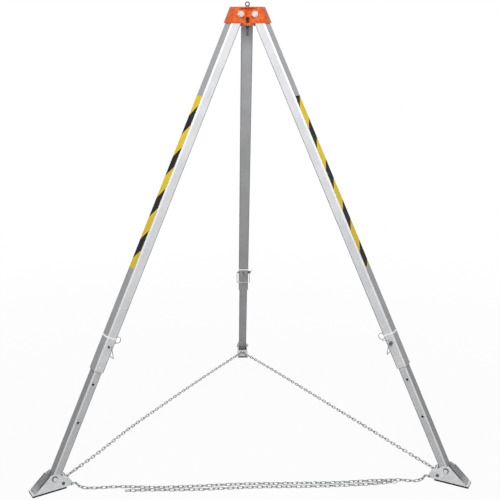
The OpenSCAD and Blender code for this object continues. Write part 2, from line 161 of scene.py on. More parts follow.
def box(name, low, high):
    """A block between two corners, as a start for a piece."""
    clear_choice()
    low = Vector(low)
    high = Vector(high)
    bpy.ops.mesh.primitive_cube_add(size=1, location=(low + high) / 2)
    piece = bpy.context.object
    piece.name = name
    piece.scale = high - low
    settle(piece)
    return piece


def turned(name, steps, sides=32):
    """A piece turned about Z from steps of radius and height, closed at both ends."""
    clear_choice()
    radius, height = steps[0]
    bpy.ops.mesh.primitive_circle_add(
        vertices=sides, radius=radius, fill_type="NGON", location=(0, 0, height))
    piece = bpy.context.object
    piece.name = name
    settle(piece)
    bpy.ops.object.mode_set(mode="EDIT")
    bpy.ops.mesh.select_mode(type="FACE")
    bpy.ops.mesh.select_all(action="SELECT")
    for next_radius, next_height in steps[1:]:
        rise = (0, 0, next_height - height)
        bpy.ops.mesh.extrude_region_move(TRANSFORM_OT_translate={"value": rise})
        grow = next_radius / radius
        bpy.ops.transform.resize(value=(grow, grow, 1), center_override=(0, 0, next_height))
        radius, height = next_radius, next_height
    bpy.ops.object.mode_set(mode="OBJECT")
    face_outwards(piece)
    return piece


def plain_ring(name, mean_radius, wire_radius, around, sides):
    """A ring of round wire about Z, not yet shaded smooth."""
    clear_choice()
    bpy.ops.mesh.primitive_torus_add(
        major_radius=mean_radius, minor_radius=wire_radius, major_segments=around, minor_segments=sides)
    piece = bpy.context.object
    piece.name = name
    return piece


def ring(name, mean_radius, wire_radius, around, sides):
    """A smooth ring of round wire about Z."""
    piece = plain_ring(name, mean_radius, wire_radius, around, sides)
    smooth(piece, 60)
    return piece


MIDDLE_GAP = 0.0001


def drawn_ring(mean_radius, wire_radius, around, sides, reach, angle):
    """A ring of round wire lying flat, its halves drawn apart along X to an oval."""
    piece = plain_ring("oval", mean_radius, wire_radius, around, sides)
    for way in (1, -1):
        pick(piece, "VERT", lambda point: point.co.x * way > MIDDLE_GAP)
        bpy.ops.transform.translate(value=(reach * way, 0, 0))
        bpy.ops.object.mode_set(mode="OBJECT")
    smooth(piece, angle)
    return piece


def round_curve(name, points, radius, fineness):
    """A round wire as a curve through points."""
    curve = bpy.data.curves.new(name, "CURVE")
    curve.dimensions = "3D"
    curve.bevel_depth = radius
    curve.bevel_resolution = fineness
    curve.use_fill_caps = True
    line = curve.splines.new("POLY")
    line.points.add(len(points) - 1)
    for spot, point in zip(line.points, points):
        spot.co = (*point, 1)
    wire = bpy.data.objects.new(name, curve)
    bpy.context.scene.collection.objects.link(wire)
    return wire


def turn(piece, place):
    """Moves a piece's mesh by a placing matrix."""
    piece.data.transform(place)
    if place.determinant() < 0:
        piece.data.flip_normals()
    piece.data.update()


def join(name, parts):
    """Joins parts into one piece."""
    clear_choice()
    for part in parts:
        part.select_set(True)
    bpy.context.view_layer.objects.active = parts[0]
    bpy.ops.object.join()
    piece = bpy.context.object
    piece.name = name
    piece.data.name = name
    return piece


def copy_of(piece, name):
    """A copy of a piece with its own mesh."""
    twin = piece.copy()
    twin.data = piece.data.copy()
    twin.name = name
    twin.data.name = name
    bpy.context.scene.collection.objects.link(twin)
    return twin


def copy_of_node(node, name):
    """A copy of a CAD node's shape, merged into plain flat faces."""
    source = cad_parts[node]
    mesh = source.data.copy()
    piece = bpy.data.objects.new(name, mesh)
    mesh.name = name
    mesh.materials.clear()
    bpy.context.scene.collection.objects.link(piece)
    choose(piece)
    bpy.ops.object.mode_set(mode="EDIT")
    bpy.ops.mesh.select_all(action="SELECT")
    bpy.ops.mesh.remove_doubles(threshold=DOUBLE_GAP)
    bpy.ops.mesh.dissolve_limited(angle_limit=math.radians(1))
    bpy.ops.object.mode_set(mode="OBJECT")
    return piece


def drop(piece):
    """Removes a pattern piece after its copies are made."""
    mesh = piece.data
    bpy.data.objects.remove(piece)
    bpy.data.meshes.remove(mesh)


def fit(piece, body, slot, finish, *nodes):
    """Gives a piece its finish, lets it ride a body and stand for its CAD nodes; its slot is not used."""
    piece.data.materials.clear()
    piece.data.materials.append(finish)
    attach(piece, body)
    if nodes:
        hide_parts(*nodes)
    return piece


# Shader groups that several finishes share
def group(name, inputs, outputs):
    """A shader node group with named sockets; inputs and outputs list (name, kind, value)."""
    tree = bpy.data.node_groups.new(name, "ShaderNodeTree")
    for label, kind, value in inputs:
        socket = tree.interface.new_socket(label, in_out="INPUT", socket_type=kind)
        if value is not None:
            socket.default_value = value
    for label, kind in outputs:
        tree.interface.new_socket(label, in_out="OUTPUT", socket_type=kind)
    return tree, tree.nodes.new("NodeGroupInput"), tree.nodes.new("NodeGroupOutput")


def connect(tree, made, links):
    """Feeds a node's inputs; links maps an input's name or number to a socket or a value."""
    for key, value in links.items():
        if isinstance(value, bpy.types.NodeSocket):
            tree.links.new(value, made.inputs[key])
        else:
            made.inputs[key].default_value = value
    return made


def node(tree, kind, links, **settings):
    """Adds a node with its settings and its inputs."""
    made = tree.nodes.new(kind)
    for key, value in settings.items():
        setattr(made, key, value)
    return connect(tree, made, links)


def maths(tree, operation, *values):
    """The result of an operation on one to three values."""
    return node(tree, "ShaderNodeMath", dict(enumerate(values)), operation=operation).outputs[0]


def ramp(tree, value, low, high, start=0.0, stop=1.0):
    """Goes from start to stop while a value goes from low to high."""
    links = {"Value": value, "From Min": low, "From Max": high, "To Min": start, "To Max": stop}
    return node(tree, "ShaderNodeMapRange", links).outputs["Result"]


def noise(tree, place, scale, detail):
    """A cloudy pattern from zero to one."""
    links = {"Vector": place, "Scale": scale, "Detail": detail}
    return node(tree, "ShaderNodeTexNoise", links).outputs["Fac"]


def stretched(tree, given):
    """A group's coordinates, drawn out by its Stretch input."""
    return node(tree, "ShaderNodeVectorMath", {0: given.outputs["Vector"], 1: given.outputs["Stretch"]},
                operation="MULTIPLY").outputs[0]


def mixed(tree, mask, low, high):
    """The colour that goes from low to high with a mask."""
    return node(tree, "ShaderNodeMix", {0: mask, 6: low, 7: high}, data_type="RGBA").outputs[2]


def build_mottle():
    """Soft patches of two colours, as on plating and paint."""
    tree, given, put = group("Mottle", [
        ("Vector", "NodeSocketVector", None), ("Scale", "NodeSocketFloat", 20.0),
        ("Light", "NodeSocketColor", (1, 1, 1, 1)), ("Dark", "NodeSocketColor", (0.8, 0.8, 0.8, 1)),
    ], [("Color", "NodeSocketColor"), ("Mask", "NodeSocketFloat")])
    spread = ramp(tree, noise(tree, given.outputs["Vector"], given.outputs["Scale"], 5.0), 0.35, 0.65)
    colour = mixed(tree, spread, given.outputs["Dark"], given.outputs["Light"])
    tree.links.new(colour, put.inputs["Color"])
    tree.links.new(spread, put.inputs["Mask"])
    return tree


def build_scratches():
    """Fine broken lines, as from handling and dragging."""
    tree, given, put = group("Scratches", [
        ("Vector", "NodeSocketVector", None), ("Stretch", "NodeSocketVector", (1, 1, 1)),
        ("Amount", "NodeSocketFloat", 0.5),
    ], [("Mask", "NodeSocketFloat")])
    line = ramp(tree, noise(tree, stretched(tree, given), 1.0, 4.0), 0.56, 0.66)
    where = ramp(tree, noise(tree, given.outputs["Vector"], 14.0, 2.0), 0.45, 0.65)
    both = maths(tree, "MULTIPLY", line, where)
    tree.links.new(maths(tree, "MULTIPLY", both, given.outputs["Amount"]), put.inputs["Mask"])
    return tree


def build_grain():
    """A fine grain for bumps and roughness, drawn out along one way."""
    tree, given, put = group("Grain", [
        ("Vector", "NodeSocketVector", None), ("Stretch", "NodeSocketVector", (1, 1, 1)),
        ("Low", "NodeSocketFloat", 0.3), ("High", "NodeSocketFloat", 0.5),
    ], [("Height", "NodeSocketFloat"), ("Roughness", "NodeSocketFloat")])
    fine = noise(tree, stretched(tree, given), 1.0, 6.0)
    rough = ramp(tree, fine, 0.3, 0.7, given.outputs["Low"], given.outputs["High"])
    tree.links.new(fine, put.inputs["Height"])
    tree.links.new(rough, put.inputs["Roughness"])
    return tree


def build_edge_wear():
    """Convex edges, broken up, where a coating rubs thin."""
    tree, given, put = group("Edge wear", [
        ("Vector", "NodeSocketVector", None), ("Amount", "NodeSocketFloat", 0.5),
    ], [("Mask", "NodeSocketFloat")])
    shape = tree.nodes.new("ShaderNodeNewGeometry")
    edge = ramp(tree, shape.outputs["Pointiness"], 0.53, 0.6)
    patchy = ramp(tree, noise(tree, given.outputs["Vector"], 90.0, 4.0), 0.42, 0.6)
    both = maths(tree, "MULTIPLY", edge, patchy)
    tree.links.new(maths(tree, "MULTIPLY", both, given.outputs["Amount"]), put.inputs["Mask"])
    return tree


MOTTLE = build_mottle()
SCRATCHES = build_scratches()
GRAIN = build_grain()
EDGE_WEAR = build_edge_wear()


def use(tree, shared, links):
    """Places a shared group in a material and gives its outputs."""
    made = tree.nodes.new("ShaderNodeGroup")
    made.node_tree = shared
    return connect(tree, made, links).outputs


def new_finish(name):
    """A material with its tree, its shader and plain object coordinates."""
    finish = bpy.data.materials.new(name)
    finish.use_nodes = True
    tree = finish.node_tree
    shader = tree.nodes["Principled BSDF"]
    place = tree.nodes.new("ShaderNodeTexCoord").outputs["Object"]
    return finish, tree, shader, place


def bump(tree, shader, height, strength, distance):
    """Feeds a height to the shader's normal."""
    made = node(tree, "ShaderNodeBump", {"Height": height, "Strength": strength, "Distance": distance})
    tree.links.new(made.outputs["Normal"], shader.inputs["Normal"])


def mottled(tree, place, scale, light, dark):
    """Patches of a light and a dark colour."""
    return use(tree, MOTTLE, {"Vector": place, "Scale": scale, "Light": light, "Dark": dark})


def scratched(tree, shader, place, stretch, amount, base, line):
    """Feeds the shader a base colour with scratches of another colour."""
    marks = use(tree, SCRATCHES, {"Vector": place, "Stretch": stretch, "Amount": amount})
    tree.links.new(mixed(tree, marks["Mask"], base, line), shader.inputs["Base Color"])


def grained(tree, shader, place, stretch, low, high, strength, distance):
    """Feeds one grain to the shader's roughness and to a slight bump."""
    grain = use(tree, GRAIN, {"Vector": place, "Stretch": stretch, "Low": low, "High": high})
    tree.links.new(grain["Roughness"], shader.inputs["Roughness"])
    bump(tree, shader, grain["Height"], strength, distance)


def in_frame(tree, place, frame_place):
    """Object coordinates turned into the own frame of a leg or a foot."""
    back = frame_place.inverted()
    links = {"Vector": place, "Location": back.to_translation(), "Rotation": back.to_euler("XYZ")}
    return node(tree, "ShaderNodeMapping", links).outputs["Vector"]


def parts_of(tree, place):
    """The X, Y and Z of a place."""
    return node(tree, "ShaderNodeSeparateXYZ", {0: place}).outputs


SOFT_STEP = 0.0004


def step_between(tree, value, low, high):
    """One where a value lies between two limits, with soft ends."""
    rise = ramp(tree, value, low - SOFT_STEP, low + SOFT_STEP)
    fall = ramp(tree, value, high - SOFT_STEP, high + SOFT_STEP, 1.0, 0.0)
    return maths(tree, "MULTIPLY", rise, fall)


def shade_of(tone, red, green, blue):
    """A colour of one tone, with a share of it for red, green and blue."""
    return (tone * red, tone * green, tone * blue, 1)


INNER_FROM = 0.0035
CORNER_FADE = 0.001
RIM_FADE = 0.0015


def tube_finish(name, azimuth, side_tone, highlight_band, flat_from):
    """Extruded aluminium: bright sides with a painted highlight band that fades down the leg, outer and inner
    faces darkened as painted shade with painted shade lines at their corners, scratches.
    """
    finish, tree, shader, place = new_finish(name)
    along = in_frame(tree, place, leg_place(azimuth))
    tone = mottled(tree, along, 9.0, shade_of(side_tone, 1, 1.01, 1.03),
                   shade_of(side_tone, 0.9, 0.91, 0.94))
    # Painted shade: the outer and inner faces take darker copies of the side tone.
    painted_shade_faces = mottled(tree, along, 9.0, shade_of(side_tone, 0.60, 0.605, 0.62),
                   shade_of(side_tone, 0.53, 0.535, 0.55))
    split = parts_of(tree, along)
    # Painted highlight: a near-white band across the sides, fainter down the leg.
    fading = ramp(tree, split["Z"], -1.7, -0.5, 0.8, 1.0)
    painted_highlight = maths(tree, "MULTIPLY", step_between(tree, split["X"], *highlight_band), fading)
    sides = mixed(tree, painted_highlight, tone["Color"], (0.92, 0.925, 0.93, 1))
    outer = ramp(tree, split["X"], flat_from, flat_from + CORNER_FADE)
    inner = ramp(tree, split["X"], INNER_FROM - flat_from, INNER_FROM - CORNER_FADE - flat_from)
    flat = maths(tree, "MAXIMUM", outer, inner)
    # Painted shade: dark lines along the corners of the outer and inner faces.
    rim = ramp(tree, maths(tree, "ABSOLUTE", split["Y"]), flat_from, flat_from + RIM_FADE)
    flats = mixed(tree, rim, painted_shade_faces["Color"], shade_of(side_tone, 0.34, 0.3434, 0.3502))
    tube = mixed(tree, flat, sides, flats)
    scratched(tree, shader, along, (700, 700, 25), 0.35, tube, (0.40, 0.41, 0.43, 1))
    grained(tree, shader, along, (1400, 1400, 6), 0.34, 0.52, 0.12, 0.0004)
    shader.inputs["Metallic"].default_value = 0.12
    shader.inputs["Specular IOR Level"].default_value = 0.25
    return finish


def orange_finish():
    """Orange powder coat with a fine orange-peel surface, rubbed lighter on its edges."""
    finish, tree, shader, place = new_finish("Orange paint")
    tone = mottled(tree, place, 26.0, (0.72, 0.100, 0.013, 1), (0.62, 0.076, 0.009, 1))
    worn = use(tree, EDGE_WEAR, {"Vector": place, "Amount": 0.55})
    edged = mixed(tree, worn["Mask"], tone["Color"], (0.86, 0.24, 0.08, 1))
    scratched(tree, shader, place, (420, 90, 160), 0.30, edged, (0.52, 0.060, 0.012, 1))
    grained(tree, shader, place, (700, 700, 700), 0.30, 0.42, 0.10, 0.0004)
    shader.inputs["Specular IOR Level"].default_value = 0.1
    return finish


def galvanised_finish():
    """Hot-dipped zinc with its crystal patches."""
    finish, tree, shader, place = new_finish("Galvanised sheet")
    crystals = node(tree, "ShaderNodeTexVoronoi", {"Vector": place, "Scale": 150.0, "Randomness": 1.0})
    grey = node(tree, "ShaderNodeSeparateColor", {0: crystals.outputs["Color"]}).outputs
    tone = mixed(tree, grey[0], (0.66, 0.665, 0.685, 1), (0.82, 0.825, 0.845, 1))
    cloud = mottled(tree, place, 30.0, (0.82, 0.825, 0.84, 1), (0.66, 0.665, 0.685, 1))
    blend = mixed(tree, 0.45, tone, cloud["Color"])
    scratched(tree, shader, place, (300, 120, 500), 0.45, blend, (0.30, 0.305, 0.32, 1))
    tree.links.new(ramp(tree, grey[1], 0.0, 1.0, 0.36, 0.54), shader.inputs["Roughness"])
    bump(tree, shader, cloud["Mask"], 0.08, 0.0005)
    shader.inputs["Metallic"].default_value = 0.4
    return finish


def plate_finish(name, azimuth):
    """Sheet darkened as painted shade, with streaks down its slope, painted shadow lines along its edges and
    lighter towards the toe.
    """
    finish, tree, shader, place = new_finish(name)
    along = in_frame(tree, place, foot_place(azimuth))
    split = parts_of(tree, along)
    # Painted shade: the whole sheet is darkened.
    tone = mottled(tree, along, 60.0, (0.29, 0.295, 0.305, 1), (0.19, 0.193, 0.20, 1))
    # Painted shadow: dark lines along both edges.
    rim = ramp(tree, maths(tree, "ABSOLUTE", split["Y"]), 0.019, 0.025)
    edged = mixed(tree, rim, tone["Color"], (0.085, 0.087, 0.092, 1))
    # Lighter towards the toe.
    lighter_toward_toe = ramp(tree, split["X"], 0.066, 0.090)
    toned = mixed(tree, lighter_toward_toe, edged, (0.50, 0.505, 0.52, 1))
    scratched(tree, shader, along, (200, 200, 90), 0.5, toned, (0.42, 0.425, 0.44, 1))
    grained(tree, shader, place, (900, 900, 900), 0.42, 0.62, 0.2, 0.0004)
    shader.inputs["Metallic"].default_value = 0.3
    return finish


def plated_finish(name, light, dark, low, high, metallic):
    """Plated or plain steel with a slight cloudiness and fine marks."""
    finish, tree, shader, place = new_finish(name)
    tone = mottled(tree, place, 120.0, light, dark)
    line = shade_of(0.6, *dark[:3])
    scratched(tree, shader, place, (900, 300, 900), 0.4, tone["Color"], line)
    grained(tree, shader, place, (600, 600, 600), low, high, 0.06, 0.0003)
    shader.inputs["Metallic"].default_value = metallic
    return finish


def matte_finish(name, light, dark, low, high, height):
    """Rubber and plastic: a dull skin with a fine texture and paler patches."""
    finish, tree, shader, place = new_finish(name)
    tone = mottled(tree, place, 70.0, light, dark)
    tree.links.new(tone["Color"], shader.inputs["Base Color"])
    grained(tree, shader, place, (1100, 1100, 1100), low, high, height, 0.0005)
    return finish


def rope_finish():
    """Thin wire rope: slanting strands, painted dark between them as painted shade and light along them as
    painted highlight.
    """
    finish, tree, shader, place = new_finish("Wire rope")
    strands = node(tree, "ShaderNodeTexWave", {"Vector": place, "Scale": 260.0, "Distortion": 1.5},
                   bands_direction="DIAGONAL").outputs["Fac"]
    # Painted shade between the strands and painted highlight along them.
    colour = mixed(tree, strands, (0.10, 0.10, 0.11, 1), (0.34, 0.345, 0.36, 1))
    tree.links.new(colour, shader.inputs["Base Color"])
    tree.links.new(ramp(tree, strands, 0.0, 1.0, 0.5, 0.32), shader.inputs["Roughness"])
    bump(tree, shader, strands, 0.4, 0.0003)
    shader.inputs["Metallic"].default_value = 0.6
    return finish


TAPE_PERIOD = 0.203
TAPE_SLOPE = 1.07
TAPE_BLACK = 0.468


def tape_finish(name, azimuth, black_top):
    """Adhesive safety tape: slanting yellow and black stripes, slightly creased and rubbed."""
    finish, tree, shader, place = new_finish(name)
    along = in_frame(tree, place, leg_place(azimuth))
    split = parts_of(tree, along)
    slant = maths(tree, "MULTIPLY_ADD", split["Y"], TAPE_SLOPE, black_top)
    turns = maths(tree, "DIVIDE", maths(tree, "SUBTRACT", slant, split["Z"]), TAPE_PERIOD)
    black = maths(tree, "LESS_THAN", maths(tree, "FRACT", turns), TAPE_BLACK)
    yellow = mottled(tree, along, 22.0, (0.98, 0.73, 0.030, 1), (0.93, 0.66, 0.024, 1))
    dark = mottled(tree, along, 30.0, (0.012, 0.012, 0.011, 1), (0.006, 0.006, 0.006, 1))
    stripes = mixed(tree, black, yellow["Color"], dark["Color"])
    scratched(tree, shader, along, (500, 500, 60), 0.12, stripes, (0.45, 0.40, 0.26, 1))
    grained(tree, shader, along, (260, 260, 120), 0.34, 0.5, 0.12, 0.0006)
    shader.inputs["Specular IOR Level"].default_value = 0.06
    return finish


ORANGE = orange_finish()
GALVANISED = galvanised_finish()
ZINC = plated_finish("Bright zinc", (0.78, 0.79, 0.81, 1), (0.62, 0.63, 0.655, 1), 0.22, 0.38, 0.7)
CHAIN = plated_finish("Chain zinc", (0.40, 0.405, 0.42, 1), (0.22, 0.225, 0.235, 1), 0.26, 0.44, 0.7)
STEEL = plated_finish("Plain steel", (0.48, 0.485, 0.50, 1), (0.34, 0.345, 0.36, 1), 0.24, 0.4, 0.6)
DARK_STEEL = plated_finish("Dark steel", (0.115, 0.118, 0.125, 1), (0.06, 0.062, 0.066, 1), 0.3, 0.48, 0.3)
BAND_ZINC = plated_finish("Band zinc", (0.95, 0.955, 0.965, 1), (0.86, 0.865, 0.88, 1), 0.26, 0.42, 0.5)
RUBBER = matte_finish("Rubber", (0.011, 0.011, 0.011, 1), (0.005, 0.005, 0.005, 1), 0.7, 0.9, 0.3)
NYLON = matte_finish("Nylon", (0.045, 0.045, 0.048, 1), (0.026, 0.026, 0.028, 1), 0.42, 0.6, 0.15)
ROPE = rope_finish()


# Chains: the routes of the part's source in metres, the side chains hooked in the feet's chain eyes
HOOK_RADIUS = 0.9878


def hook(leg, height):
    """Where an end link's bend passes through the chain eye of a leg's foot."""
    angle = math.radians(LEGS[leg])
    return (HOOK_RADIUS * math.cos(angle), HOOK_RADIUS * math.sin(angle), height)


FLOOR_RUN = 0.0085
LEFT_ROUTE = [
    hook("left", 0.0475), (-0.7469, -0.300, 0.0485), (-0.6208, -0.049, 0.048), (-0.4625, 0.229, 0.0475),
    (-0.2991, 0.504, 0.048), (-0.1413, 0.7595, 0.0485), hook("rear", 0.0475)]
RIGHT_ROUTE = [
    hook("right", 0.0475), (0.7417, -0.303, 0.0485), (0.6052, -0.058, 0.047), (0.4478, 0.2205, 0.0445),
    (0.2913, 0.4995, 0.0425), (0.1421, 0.760, 0.041), hook("rear", 0.0425)]
NOSE_END = [
    (0.8359, -0.5144, 0.015), (0.8211, -0.5071, 0.015), (0.8125, -0.5101, 0.013), (0.8022, -0.5209, 0.011)]
FRONT_ROUTE = [(-x, y, z) for x, y, z in NOSE_END]
FRONT_ROUTE += [(x, y, FLOOR_RUN) for x, y in (
    (-0.785, -0.534), (-0.763, -0.5405), (-0.739, -0.5435), (-0.693, -0.542), (-0.640, -0.538),
    (-0.560, -0.540), (-0.470, -0.548), (-0.350, -0.549), (-0.240, -0.545), (-0.120, -0.539),
    (0.0, -0.536), (0.120, -0.538), (0.230, -0.539), (0.330, -0.541), (0.420, -0.540), (0.520, -0.533),
    (0.600, -0.530), (0.690, -0.530), (0.727, -0.537), (0.757, -0.541), (0.785, -0.534))]
FRONT_ROUTE += NOSE_END[::-1]
TAIL_ROUTE = [(x, y, FLOOR_RUN) for x, y in (
    (0.650, -0.546), (0.600, -0.554), (0.540, -0.560), (0.450, -0.566), (0.340, -0.569), (0.220, -0.569),
    (0.100, -0.566), (-0.010, -0.566), (-0.130, -0.571), (-0.240, -0.575), (-0.360, -0.575), (-0.470, -0.571),
    (-0.582, -0.573))]
LINK_PITCH = 0.0222
LINK_WIRE = 0.0022
LINK_HALF = 0.0058
SIDE_ROLL = 47
ROLL_LINKS = 4
TWIST = 0.13
TWIST_STEP = 1.7
CURVE_STEPS = 12
POINTS_A_LINK = 8


def even_points(route, count):
    """Points at even distances along a smooth curve through a route."""
    knots = [Vector(point) for point in route]
    knots = [2 * knots[0] - knots[1]] + knots + [2 * knots[-1] - knots[-2]]
    dense = []
    for i in range(1, len(knots) - 2):
        a, b, c, d = knots[i - 1:i + 3]
        for k in range(CURVE_STEPS):
            t = k / CURVE_STEPS
            dense.append(0.5 * ((2 * b) + (c - a) * t + (2 * a - 5 * b + 4 * c - d) * t * t
                                + (3 * b - a - 3 * c + d) * t ** 3))
    dense.append(knots[-2])
    walked = [0.0]
    for a, b in zip(dense, dense[1:]):
        walked.append(walked[-1] + (b - a).length)
    points = []
    i = 0
    for k in range(count):
        goal = walked[-1] * k / (count - 1)
        while i < len(dense) - 2 and walked[i + 1] < goal:
            i += 1
        share = (goal - walked[i]) / max(walked[i + 1] - walked[i], 1e-9)
        points.append(dense[i].lerp(dense[i + 1], share))
    return points, walked[-1]


def one_link():
    """A chain link about the origin, long along X and lying flat."""
    return drawn_ring(LINK_HALF, LINK_WIRE, 10, 6, LINK_PITCH / 2 + LINK_WIRE - LINK_HALF, 70)


def chain_span(name, route, roll):
    """Links along a route, every other one turned by a quarter, rolled about the route away from its ends."""
    pattern = one_link()
    length = even_points(route, 2)[1]
    count = max(1, round((length - 2 * LINK_WIRE) / LINK_PITCH))
    if count % 2 == 0:
        count += 1
    path = even_points(route, POINTS_A_LINK * count + 1)[0]
    last = len(path) - 1
    half = POINTS_A_LINK // 2
    inset = LINK_PITCH / 2 + LINK_WIRE
    links = []
    for k in range(count):
        goal = inset + (length - 2 * inset) * k / (count - 1)
        at = goal / length * last
        i = min(int(at), last - 1)
        centre = path[i].lerp(path[i + 1], at - i)
        along = (path[min(i + 1 + half, last)] - path[max(i - half, 0)]).normalized()
        side = Vector((0, 0, 1)).cross(along).normalized()
        above = along.cross(side)
        ease = min(1, k / ROLL_LINKS, (count - 1 - k) / ROLL_LINKS)
        quarter = math.pi / 2 if k % 2 else 0
        lean = quarter + math.radians(roll) * ease + TWIST * math.sin(TWIST_STEP * k)
        across = side * math.cos(lean) + above * math.sin(lean)
        face = along.cross(across)
        place = Matrix((along, across, face)).transposed().to_4x4()
        place.translation = centre
        link = copy_of(pattern, name + "_link")
        turn(link, place)
        links.append(link)
    drop(pattern)
    return join(name, links), path, length


def declare_chain(piece, node_name):
    """Lets a chain ride the head with the chain finish and stand for its CAD solid."""
    fit(piece, "head", "chain", CHAIN, node_name)


OVAL_HALF = 0.006
OVAL_WIRE = 0.0025
OVAL_REACH = 0.008
QUICK_LINK_AT = (0.661, -0.5433, 0.0048)


def quick_link():
    """The oval screw link that joins the tail to the front chain, with its sleeve nut."""
    oval = drawn_ring(OVAL_HALF, OVAL_WIRE, 24, 10, OVAL_REACH, 60)
    sleeve = turned("sleeve", [(0.0034, -0.006), (0.0039, -0.0055), (0.0039, 0.0055), (0.0034, 0.006)], 6)
    turn(sleeve, Matrix.Translation((0, -OVAL_HALF, 0)) @ OUTWARD)
    piece = join("quick_link_oval", [oval, sleeve])
    turn(piece, Matrix.Translation(QUICK_LINK_AT))
    return fit(piece, "head", "zinc", ZINC, "quick_link")


for span, route, roll, lay in (
        ("left", LEFT_ROUTE, SIDE_ROLL, "hanging"), ("right", RIGHT_ROUTE, -SIDE_ROLL, "hanging"),
        ("front", FRONT_ROUTE, 0, "loose")):
    links, path, length = chain_span("chain_links_" + span, route, roll)
    declare_chain(links, "chain_" + span)
oval_link = quick_link()
links, path, length = chain_span("chain_links_tail", TAIL_ROUTE, 0)
declare_chain(links, "chain_tail")


# Lanyards, from the split rings to the lock pins' heads, in the leg's frame
ROPE_START = Vector((RING_X, 0, RING_Z - 0.0177))
ROPE_END = Vector((0, -0.0435, PIN_Z))
ROPE_ROUTE = [ROPE_START + Vector(step) for step in (
    (0, 0, 0), (0.001, -0.008, -0.001), (0.006, -0.022, 0), (0.017, -0.035, 0.002))]
ROPE_ROUTE += [ROPE_END + Vector(step) for step in (
    (-0.008, -0.007, 0.023), (0, -0.008, 0.018), (0.002, -0.006, 0.011), (0.0005, -0.0015, 0.006),
    (0, 0, 0.003), (0, 0, -0.003))]
ROPE_WIRE = 0.001
ROPE_POINTS = 24
CRIMP_POINTS = ((2, 4), (-7, -5))


def lanyard(leg, azimuth):
    """A thin wire rope on one smooth curve, with a crimped sleeve at each end."""
    place = leg_place(azimuth)
    points, length = even_points(ROPE_ROUTE, ROPE_POINTS)
    points = [place @ point for point in points]
    rope = round_curve("lanyard_rope_" + leg, points, ROPE_WIRE, 3)
    sleeves = []
    for near, far in CRIMP_POINTS:
        middle = Matrix.Translation((points[far] + points[near]) / 2)
        way = (points[far] - points[near]).normalized().to_track_quat("Z", "Y")
        sleeve = turned("crimp", [(0.0013, -0.003), (0.0018, -0.0026), (0.0018, 0.0026), (0.0013, 0.003)], 12)
        turn(sleeve, middle @ way.to_matrix().to_4x4())
        smooth(sleeve)
        sleeves.append(sleeve)
    crimps = join("lanyard_crimps_" + leg, sleeves)
    fit(crimps, "upper_leg_" + leg, "wire_rope", DARK_STEEL)
    fit(rope, "upper_leg_" + leg, "wire_rope", ROPE, "lanyard_" + leg)


for leg, azimuth in LEGS.items():
    lanyard(leg, azimuth)


# Nuts and bolts
def hexagon(name, radius, low, high):
    """A six-sided head or nut about Z with its corners chamfered."""
    chamfer = (high - low) * 0.16
    return turned(name, [(radius * 0.90, low), (radius, low + chamfer), (radius, high - chamfer),
                         (radius * 0.90, high)], 6)


def washer(name, radius, low, high):
    """A flat washer about Z with rounded rims."""
    rim = (high - low) * 0.3
    return turned(name, [(radius - rim, low), (radius, low + rim), (radius, high - rim),
                         (radius - rim, high)], 36)


THREAD_PITCH = 0.0018


def thread_end(name, radius, low, high):
    """The chamfered end of a thread about Z, with a few turns cut in it."""
    steps = [(radius * 0.97, low)]
    turns = max(2, int((high - low) / THREAD_PITCH))
    pitch = (high - low) / turns
    for k in range(turns):
        steps.append((radius * 0.9, low + pitch * (k + 0.25)))
        steps.append((radius * 0.99, low + pitch * (k + 0.75)))
    steps.append((radius * 0.8, high))
    return turned(name, steps, 28)


HINGE_HEX = 0.01413
HINGE_PAD = 0.0150
PAD_THICK = 0.0018
HINGE_SHANK = 0.0079
HINGE_THREAD = 0.008
HEAD_OUT = HEAD_HALF + 0.0100
NUT_OUT = HEAD_HALF + 0.0112
THREAD_OUT = HEAD_HALF + 0.0128


def hinge_bolt_set():
    """A hinge bolt across an arm of the head: hexagon, washer, plain shank and thread end."""
    head = hexagon("bolt", HINGE_HEX, -HEAD_OUT, -HEAD_HALF - PAD_THICK)
    pad = washer("pad", HINGE_PAD, -HEAD_HALF - PAD_THICK, -HEAD_HALF)
    shank = turned("shank", [(HINGE_SHANK, -HEAD_HALF - 0.001), (HINGE_SHANK, HEAD_HALF)], 32)
    end = thread_end("end", HINGE_THREAD, HEAD_HALF, THREAD_OUT)
    bolt = join("hinge_bolt_pattern", [head, pad, shank, end])
    smooth(bolt)
    turn(bolt, ACROSS)
    return bolt


def hinge_nut_set():
    """Nut side of a hinge bolt: washer and hexagon."""
    pad = washer("pad", HINGE_PAD, HEAD_HALF, HEAD_HALF + PAD_THICK)
    nut = hexagon("nut", HINGE_HEX, HEAD_HALF + PAD_THICK, NUT_OUT)
    both = join("hinge_nut_pattern", [pad, nut])
    smooth(both)
    turn(both, ACROSS)
    return both


def three_times(pattern, name, place_of):
    """Copies a pattern to the three legs and joins the copies into one piece."""
    copies = []
    for leg, azimuth in LEGS.items():
        twin = copy_of(pattern, name + "_" + leg)
        turn(twin, place_of(azimuth))
        copies.append(twin)
    drop(pattern)
    return join(name, copies)


fit(three_times(hinge_bolt_set(), "hinge_bolt_set", arm_place), "head", "zinc", ZINC, "hinge_bolts")
fit(three_times(hinge_nut_set(), "hinge_nut_set", arm_place), "head", "zinc", ZINC, "hinge_nuts")


# Head
SHELL_EDGE = 0.0016
ANCHOR_RADIUS = 0.0155
ANCHOR_WIRE = 0.0047
ANCHOR_DEEPER = Matrix.Diagonal((1, 1, 1.06, 1))
ANCHOR_THREAD = 0.006
ANCHOR_NUT = 0.0106
ANCHOR_NUT_HIGH = 0.0096
UNDER_TOP = HEAD_TOP - 0.0045
TOP_EYE_RADIUS = 0.00875
TOP_EYE_WIRE = 0.00275
TOP_EYE_UP = HEAD_TOP + 0.0130
shell = copy_of_node("head_shell", "head_cover")
round_edges(shell, SHELL_EDGE, 3, 25)
fit(shell, "head", "orange_paint", ORANGE, "head_shell")


